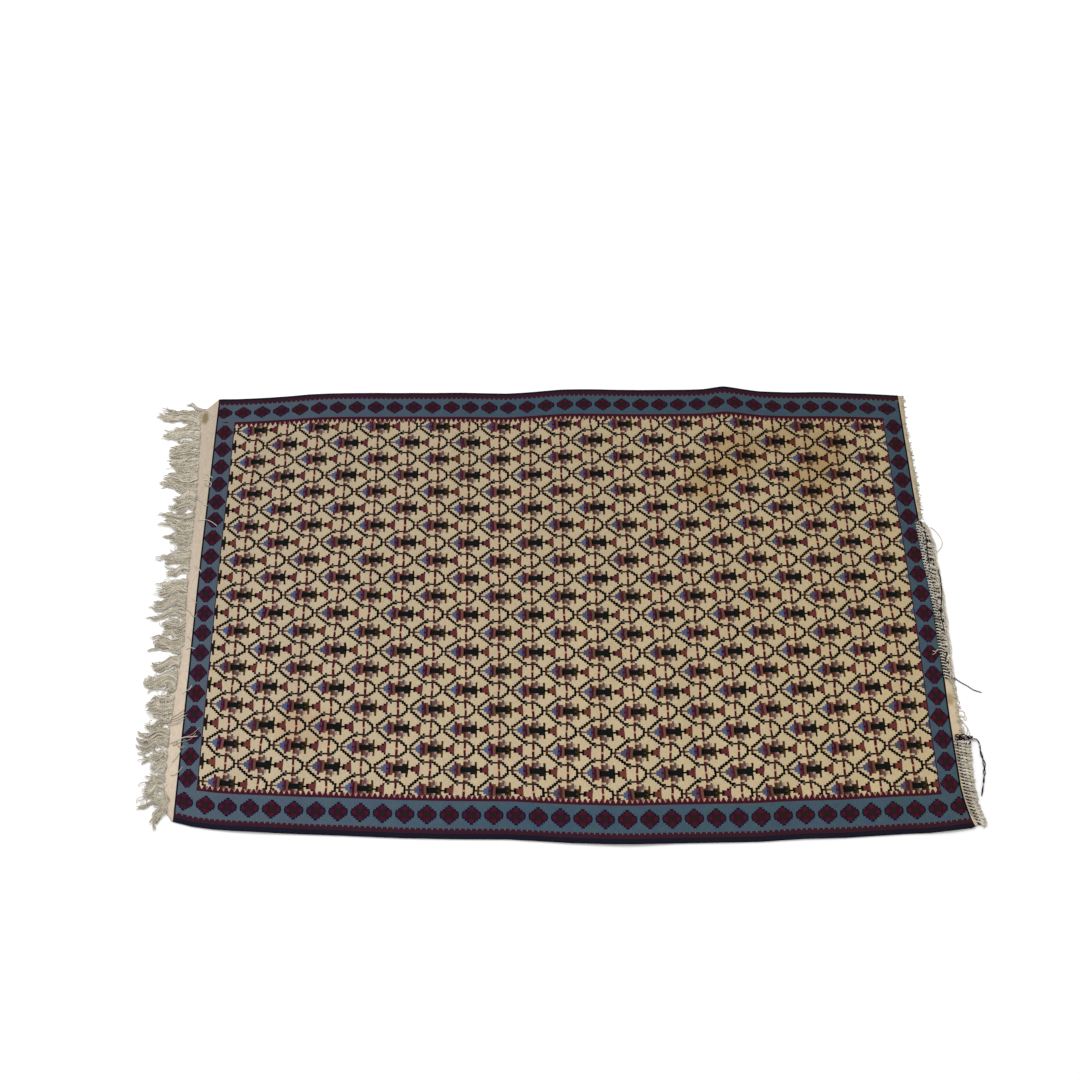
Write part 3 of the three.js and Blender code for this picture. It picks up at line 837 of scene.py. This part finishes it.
def yarn_mesh(name, routes, material, sides=5):
    """One mesh of round yarns, from (points, radius) in metres. Its UV map "yarn" holds the millimetres
    along the yarn and the share of the way round, and "spun" holds a number for each yarn."""
    points, faces, places, lots = [], [], [], []
    turns = 2 * math.pi * np.arange(sides) / sides
    start = 0
    for number, (route, radius) in enumerate(routes):
        _, side, up = frames_along(route)
        run = np.concatenate([[0], np.cumsum(np.linalg.norm(np.diff(route, axis=0), axis=1))]) / MM
        thick = radius * np.ones(len(route))
        thick[-1] *= 0.5
        ring = np.cos(turns)[:, None] * side[:, None] + np.sin(turns)[:, None] * up[:, None]
        points.append((route[:, None] + thick[:, None, None] * ring).reshape(-1, 3))
        index = start + np.arange(len(route) * sides).reshape(-1, sides)
        ahead = np.roll(index, -1, axis=1)
        quads = np.stack([index[:-1], ahead[:-1], ahead[1:], index[1:]], axis=-1).reshape(-1, 4)
        faces += quads.tolist() + [index[0, ::-1].tolist(), index[-1].tolist()]
        share = np.arange(sides) / sides
        low, high = np.repeat(run[:-1], sides), np.repeat(run[1:], sides)
        left = np.tile(share, len(route) - 1)
        corners = [(low, left), (low, left + 1 / sides), (high, left + 1 / sides), (high, left)]
        places.append(np.stack([np.stack(pair, axis=-1) for pair in corners], axis=1).reshape(-1, 2))
        places.append(np.zeros((2 * sides, 2)))
        lots.append(np.full(len(quads) * 4 + 2 * sides, number + 0.5))
        start += len(route) * sides
    mesh = bpy.data.meshes.new(name)
    mesh.from_pydata(np.vstack(points).tolist(), [], faces)
    lots = np.concatenate(lots)
    for title, values in (("yarn", np.vstack(places)), ("spun", np.stack([lots, lots], axis=1))):
        mesh.uv_layers.new(name=title).data.foreach_set("uv", values.ravel())
    mesh.polygons.foreach_set("use_smooth", [True] * len(faces))
    mesh.materials.append(material)
    mesh.update()
    return new_object(name, mesh)


class Ground:
    """What the loose yarns lie on: the cloth where there is cloth, and the floor past its edges."""

    def __init__(self, piece):
        mesh = piece.data
        self.tree = BVHTree.FromPolygons([v.co for v in mesh.vertices], [f.vertices for f in mesh.polygons])

    def height(self, x, y):
        hit = self.tree.ray_cast(Vector((x, y, 0.1)), Vector((0, 0, -1)))[0]
        return hit.z if hit else 0.0

    def lay(self, route, radius, lift=0.0):
        """A route in mm from the middle of the weave, laid on the ground, in metres."""
        route = np.array(route, dtype=float)
        x = MIDDLE_X + route[:, 0] * MM
        y = MIDDLE_Y + route[:, 1] * MM
        rest = np.array([self.height(*place) for place in zip(x, y)])
        kernel = np.ones(3) / 3
        rest = np.maximum(rest, np.convolve(np.pad(rest, 1, mode="edge"), kernel, mode="valid"))
        return np.stack([x, y, rest + radius + lift], axis=1)


def spun_yarn(name, colours, twist, speckled=False):
    """Hand-spun, plied yarn: matt and hairy, with a slanting groove between its plies, painted shade in the
    groove and painted light on the plies' crests, and each yarn a little lighter or darker than the next.
    The slant is drawn twice as long as a real ply's."""
    material = new_material(name)
    tree = material.node_tree
    along, around = add(tree, "SeparateXYZ", [add(tree, "UVMap", uv_map="yarn")]).node.outputs[:2]
    number = add(tree, "SeparateXYZ", [add(tree, "UVMap", uv_map="spun")])
    lot = add(tree, "TexWhiteNoise", {"W": number}, noise_dimensions="1D")
    if speckled:
        spot = add(tree, "Math", [number, 100.0], "MULTIPLY")
        spot = add(tree, "Math", [spot, along], "ADD")
        lot = add(tree, "TexNoise", {"W": spot, "Scale": 0.09, "Detail": 0.0}, noise_dimensions="1D")
        colour = add(tree, "ValToRGB", {"Fac": lot}, stops=colours)
    else:
        colour = add(tree, "Mix", {"Factor": lot, "A": colours[0], "B": colours[1]}, data_type="RGBA")
    place = add(tree, "TexCoord").node.outputs["Object"]
    soiled = add(tree, "TexNoise", {"Vector": place, "Scale": PER_METRE["soil"], "Detail": 2.0})
    soiled = add(tree, "Math", [soiled, 0.5, 0.75], "MULTIPLY_ADD")
    turn = add(tree, "Math", [along, 1 / twist], "MULTIPLY")
    turn = add(tree, "Math", [turn, around], "ADD")
    turn = add(tree, "Math", [turn, 0.5 / PLIES], "PINGPONG")
    groove = add(tree, "Math", [turn, 2.0 * PLIES], "MULTIPLY")
    # painted shade and light: the colour is darker in the groove between the plies and lighter on their
    # crests
    dark = add(tree, "Math", [groove, 0.45, 0.7], "MULTIPLY_ADD")
    shade = add(tree, "Math", [soiled, dark], "MULTIPLY")
    colour = add(tree, "VectorMath", {"Vector": colour, "Scale": shade}, "SCALE")
    bump = add(tree, "Bump", {"Strength": 0.6, "Distance": BUMP_HEIGHT, "Height": groove})
    sockets = {"Base Color": colour, "Roughness": 0.9, "Specular IOR Level": 0.1, "Normal": bump}
    finish_material(material, sockets)
    return material


def edge_line(end):
    """The cloth's left or right edge, as x at each y, in mm from the middle of the weave."""
    across = np.linspace(0, 1, 400)
    x, y = outline.place(end * np.ones(400), across)
    return (y - MIDDLE_Y) / MM, (x - MIDDLE_X) / MM


def on_table(x, y, z):
    """Points given in millimetres from the middle of the weave, in metres."""
    x, y, z = (np.multiply(value, MM) for value in (x, y, z))
    return np.column_stack([MIDDLE_X + x, MIDDLE_Y + y, z])


def bent(points, legs):
    """A smooth curve through points in millimetres from the middle of the weave, in metres."""
    return on_table(*curve_through(points, legs).T)


def strip_sides(rows, y):
    """The inner and outer x of the braid or the loops at y."""
    y_at, inner_at, outer_at = np.array(rows, dtype=float).T
    return np.interp(y, y_at, inner_at), np.interp(y, y_at, outer_at)


def hank_of_yarns(root, tip, bend, level, count):
    """A hank of crinkled warp ends that keep each other company from its root to its ragged tip."""
    root, tip = np.array(root), np.array(tip)
    gap = tip - root
    length = max(np.hypot(*gap), 1.0)
    normal = np.array([-gap[1], gap[0]]) / length
    knots = [
        root,
        root + 0.3 * gap + 0.6 * bend * normal,
        root + 0.68 * gap - 0.5 * bend * normal,
        tip,
    ]
    spine = curve_through(knots, int(np.clip(length / 16, 2, 6)))
    share = np.linspace(0, 1, len(spine))
    phase = rng.uniform(0, 2 * math.pi)
    wave = rng.uniform(15, 25)
    routes = []
    for number in range(count):
        aside = (number - (count - 1) / 2) * 2.1 * (1.0 + 0.5 * share * rng.uniform(0.2, 1.6))
        own = phase + rng.uniform(-0.7, 0.7)
        turn = 2 * math.pi * share * length / wave + own
        aside = aside + np.minimum(share * 4, 1) * rng.uniform(0.9, 2.4) * np.sin(turn)
        flat = spine + aside[:, None] * normal
        top = level + rng.uniform(-0.6, 0.9)
        z = 1.0 + top * np.sin(math.pi * np.clip(0.08 + share * 0.86, 0, 1)) ** 0.5 + 0.5 * np.cos(turn)
        z = np.maximum(z, WARP_END_RADIUS)
        keep = max(4, int(len(spine) * rng.uniform(0.72, 1.0)))
        routes.append((on_table(flat[:keep, 0], flat[:keep, 1], z[:keep]), WARP_END_RADIUS * MM))
    return routes


def make_fringe(cotton):
    """The left end's warp ends: hanks of crinkled yarn, matted into clumps. The yarns are drawn as coarse
    as they need to show, with the dark gaps between them that a real fringe has."""
    edge_y, edge_x = edge_line(0.0)
    routes = []
    for root_y, half, tip_x, tip_y, tip_half in CLUMPS:
        sway = rng.choice([-1, 1]) * rng.uniform(6, 18)
        for _ in range(max(4, round(half / 3.2))):
            side = rng.uniform(-1, 1)
            start_y = root_y + side * half * 1.15
            start = (np.interp(start_y, edge_y, edge_x) + 6.0, start_y)
            reach = rng.uniform(0.5, 1.0) ** 0.35
            tip = (tip_x + rng.uniform(-8, 8), tip_y + (0.9 * side + rng.uniform(-0.6, 0.6)) * tip_half)
            finish = [s + reach * (t - s) for s, t in zip(start, tip)]
            bend = sway + rng.uniform(-7, 7)
            routes += hank_of_yarns(start, finish, bend, rng.uniform(0.2, 4.8), rng.integers(4, 7))
    for start_y in np.linspace(*FRINGE_HANKS) + rng.uniform(-6, 6, FRINGE_HANKS[2]):
        start = (np.interp(start_y, edge_y, edge_x) + 4.0, start_y)
        slant = rng.uniform(-0.75, 0.75)
        length = rng.uniform(28, 84)
        finish = (start[0] - length * math.cos(slant), start_y + length * math.sin(slant))
        bend = rng.uniform(-14, 14)
        routes += hank_of_yarns(start, finish, bend, rng.uniform(0.2, 3.5), rng.integers(2, 5))
    for start_y in rng.uniform(*FRINGE_CURLS):
        edge = np.interp(start_y, edge_y, edge_x)
        middle = np.array([edge - rng.uniform(2, 48), start_y])
        turn = rng.uniform(0, 2 * math.pi) + np.linspace(0, rng.uniform(2.0, 4.0), 9)
        size = rng.uniform(4.0, 11.0) * np.linspace(1.0, rng.uniform(0.8, 1.8), 9)
        x, y = middle[0] + size * np.cos(turn), middle[1] + size * np.sin(turn)
        z = rng.uniform(2.5, 5.5) * np.ones(9)
        routes.append((on_table(x, y, z), 0.8 * WARP_END_RADIUS * MM))
    piece = yarn_mesh("warp_end_fringe", routes, cotton)
    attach(piece, "root")
    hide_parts("warp_fringe")


def make_braid(cotton, dark):
    """The right end's edge finish: a ladder of white stitches, a worn plait, and a cord along the outside,
    over dark yarns that are painted shade in the gaps between them, and a dark yarn along the top of the
    braid."""
    low, high = BRAID[0][0], BRAID[-1][0]
    pale, core = [], []
    for y in np.arange(low + 2, high, LADDER_PITCH):
        inner, _ = strip_sides(BRAID, y)
        stitch = [(inner - 2.5, y + 2.6, 4.6), (inner + 3, y + 0.8, 6.6), (inner + 9, y - 3.0, 6.0)]
        pale.append((bent(stitch, 3), rng.uniform(1.4, 1.7) * MM))
    for y in np.arange(low, high - 4, PLAIT_PITCH):
        inner, outer = strip_sides(BRAID, y)
        x = np.linspace(inner + 9, outer - 6, 5)
        lean = rng.uniform(-4.0, 14.0)
        drop = lean * np.linspace(0, 1, 5) + rng.uniform(-2, 2, 5)
        stitch = np.column_stack([x, y - drop, rng.uniform(4.2, 6.6, 5)])
        pale += plied(bent(stitch, 3), rng.uniform(2.6, 3.6) * MM, 16 * MM)
    y = np.arange(low, high, 3.5)
    inner, outer = strip_sides(BRAID, y)
    for back, radius, level in ((2.4, 2.8, 4.2), (8.2, 2.5, 5.4)):
        sway = rng.uniform(0.6, 1.4) * np.sin(y / 11.0 + back)
        strip = on_table(outer - back + sway, y, level + 0.8 * np.sin(y / 6.0 + back))
        pale += plied(strip, radius * MM, 18 * MM)
    # painted shade: dark yarns laid under the stitches and the plait darken the gaps between them
    for share, radius in ((0.08, 1.8), (0.28, 2.4), (0.48, 2.2), (0.66, 1.8)):
        wander = 1.4 * np.sin(y / 4.3 + 9 * share)
        x = inner + share * (outer - inner) + wander
        core.append((on_table(x, y, 3.4 + 0.4 * wander), radius * MM))
    for line in BRAID_LINES:
        route = curve_through(line, 5)
        core.append((on_table(*route.T, 7.4 + 0.8 * np.sin(route[:, 1] / 5.0)), 1.4 * MM))
    piece = yarn_mesh("edge_braid", pale, cotton, sides=7)
    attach(piece, "root")
    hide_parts("warp_braid")
    core = yarn_mesh("braid_dark_yarns_and_shade", core, dark)
    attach(core, "root")


def make_loops(cotton, dark):
    """The near corner's warps, rolled into fat two-ply loops that lean on each other, and stitched down
    along their inner side, over dark yarns that are painted shade in the gaps between the loops."""
    low, high = LOOPS[0][0], LOOPS[-1][0]
    routes = []
    for y in np.arange(high - 5, low + 4, -LOOP_PITCH):
        inner, outer = strip_sides(LOOPS, y)
        outer += rng.uniform(-2.0, 2.0)
        fall = rng.uniform(5.5, 9.0)
        loop = [
            (inner + 7, y, 4.4), (inner + 13, y - 0.3 * fall, 6.4), (outer - 8, y - 0.75 * fall, 6.6),
            (outer - 1.5, y - fall, 4.6), (outer, y - fall - 2.0, 3.0),
        ]
        routes += plied(bent(loop, 4), rng.uniform(3.2, 3.9) * MM, 19 * MM)
        stitch = [(inner - 3, y + 2.4, 4.4), (inner + 2, y + 1.2, 6.2), (inner + 9, y - 1.4, 6.2)]
        routes.append((bent(stitch, 3), 1.5 * MM))
    piece = yarn_mesh("rolled_loops", routes, cotton, sides=8)
    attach(piece, "root")
    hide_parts("warp_loops")

    # painted shade: dark yarns laid under the loops darken the gaps between them
    y = np.arange(low + 2, high, 3.5)
    inner, outer = strip_sides(LOOPS, y)
    core = []
    for share, radius in ((0.12, 1.7), (0.3, 2.0), (0.5, 1.8), (0.68, 1.8)):
        x = inner + share * (outer - inner)
        core.append((on_table(x + np.sin(y / 3.7), y, 3.0 + 0 * y), radius * MM))
    loop_shade_yarns = yarn_mesh("loop_painted_shade", core, dark)
    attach(loop_shade_yarns, "root")


def make_cord(material):
    """The loose two-ply cord of dark, red and white wool. It hangs from the knot and lies on the floor, and
    its plies have come apart below the middle."""
    path = bent(CORD_ROUTE, 4)
    share = np.linspace(0, 1, len(path))
    apart = np.clip(1 - np.abs(share - 0.62) / 0.24, 0, 1)
    radius = (0.5 * CORD_DIAMETER + 0.3 + 1.7 * np.sin(0.5 * math.pi * apart)) * MM
    path[:, 2] = np.maximum(path[:, 2], 0.0018)
    cord = yarn_mesh("two_ply_cord", plied(path, radius, 46 * MM, 1.2 * MM), material, sides=6)
    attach(cord, "root")
    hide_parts("loose_cord")


def make_knot(material):
    """The tangle of dark yarn that ties the first loop, which the cord comes out of."""
    routes = []
    for number in range(5):
        y = -386.5 - 4.0 * number / 2
        knots = [
            (903 + 3 * number, y + 3, 3.5), (912, y - 3 + rng.uniform(-2, 2), 5.5),
            (924, y + rng.uniform(-3, 3), 6.0), (935, y - 1.5 + rng.uniform(-2, 2), 5.4),
            (943.5, -393.4 + rng.uniform(-1.5, 1.5), 4.2),
        ]
        routes += plied(bent(knots, 5), rng.uniform(1.0, 1.5) * MM, 9 * MM)
    for wisp in KNOT_WISPS:
        route = curve_through(wisp, 5)
        routes.append((on_table(*route.T, 8.2 + 0.6 * np.sin(route[:, 0] / 2.0)), 1.4 * MM))
    for x in (911, 921, 931, 940):
        turn = np.linspace(0, 2 * math.pi, 14)
        wrap = on_table(x + 2.5 * turn / 6.3, -391.5 + 4.6 * np.cos(turn), 4.4 + 3.0 * np.sin(turn))
        routes.append((wrap, 1.0 * MM))
    piece = yarn_mesh("dark_knot", routes, material, sides=6)
    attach(piece, "root")
    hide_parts("yarn_knot")


def make_threads(ground, pale, dark):
    """The stray warp ends and broken wefts that lie over the two ends."""
    for name, threads, material, slot in (
        ("stray_warp_ends", PALE_THREADS, pale, "warp_cotton"),
        ("stray_dark_wefts", DARK_THREADS, dark, "dark_wool"),
    ):
        routes = []
        for thread in threads:
            radius = rng.uniform(0.7, 1.05) * MM
            routes.append((ground.lay(curve_through(thread), radius, 0.3 * MM), radius))
        if material is pale:
            edge_y, edge_x = edge_line(1.0)
            for y in np.concatenate([rng.uniform(*stretch) for stretch in RAVELLED]):
                start = np.interp(y, edge_y, edge_x) - rng.uniform(1, 9)
                end = [(start, y), (start + 4, y + rng.uniform(-3, 3)), (start + 9, y + rng.uniform(-6, 6))]
                routes.append((ground.lay(curve_through(end, 3), 0.7 * MM), 0.7 * MM))
        piece = yarn_mesh(name, routes, material)
        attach(piece, "root")


make_camera()
dark_wool = spun_yarn("dark_plied_wool", DARK_WOOL, twist=8, speckled=True)
make_cord(dark_wool)
make_knot(dark_wool)
cloth = make_cloth()
ground = Ground(cloth)
cotton = spun_yarn("plied_undyed_warp", ["#9c927d", "#dcd4c4"], twist=9)
broken = spun_yarn("broken_black_weft", ["#0b0908", "#201a1c"], twist=6)
make_fringe(cotton)
make_braid(cotton, broken)
make_loops(cotton, broken)
make_threads(ground, cotton, broken)
make_stage()
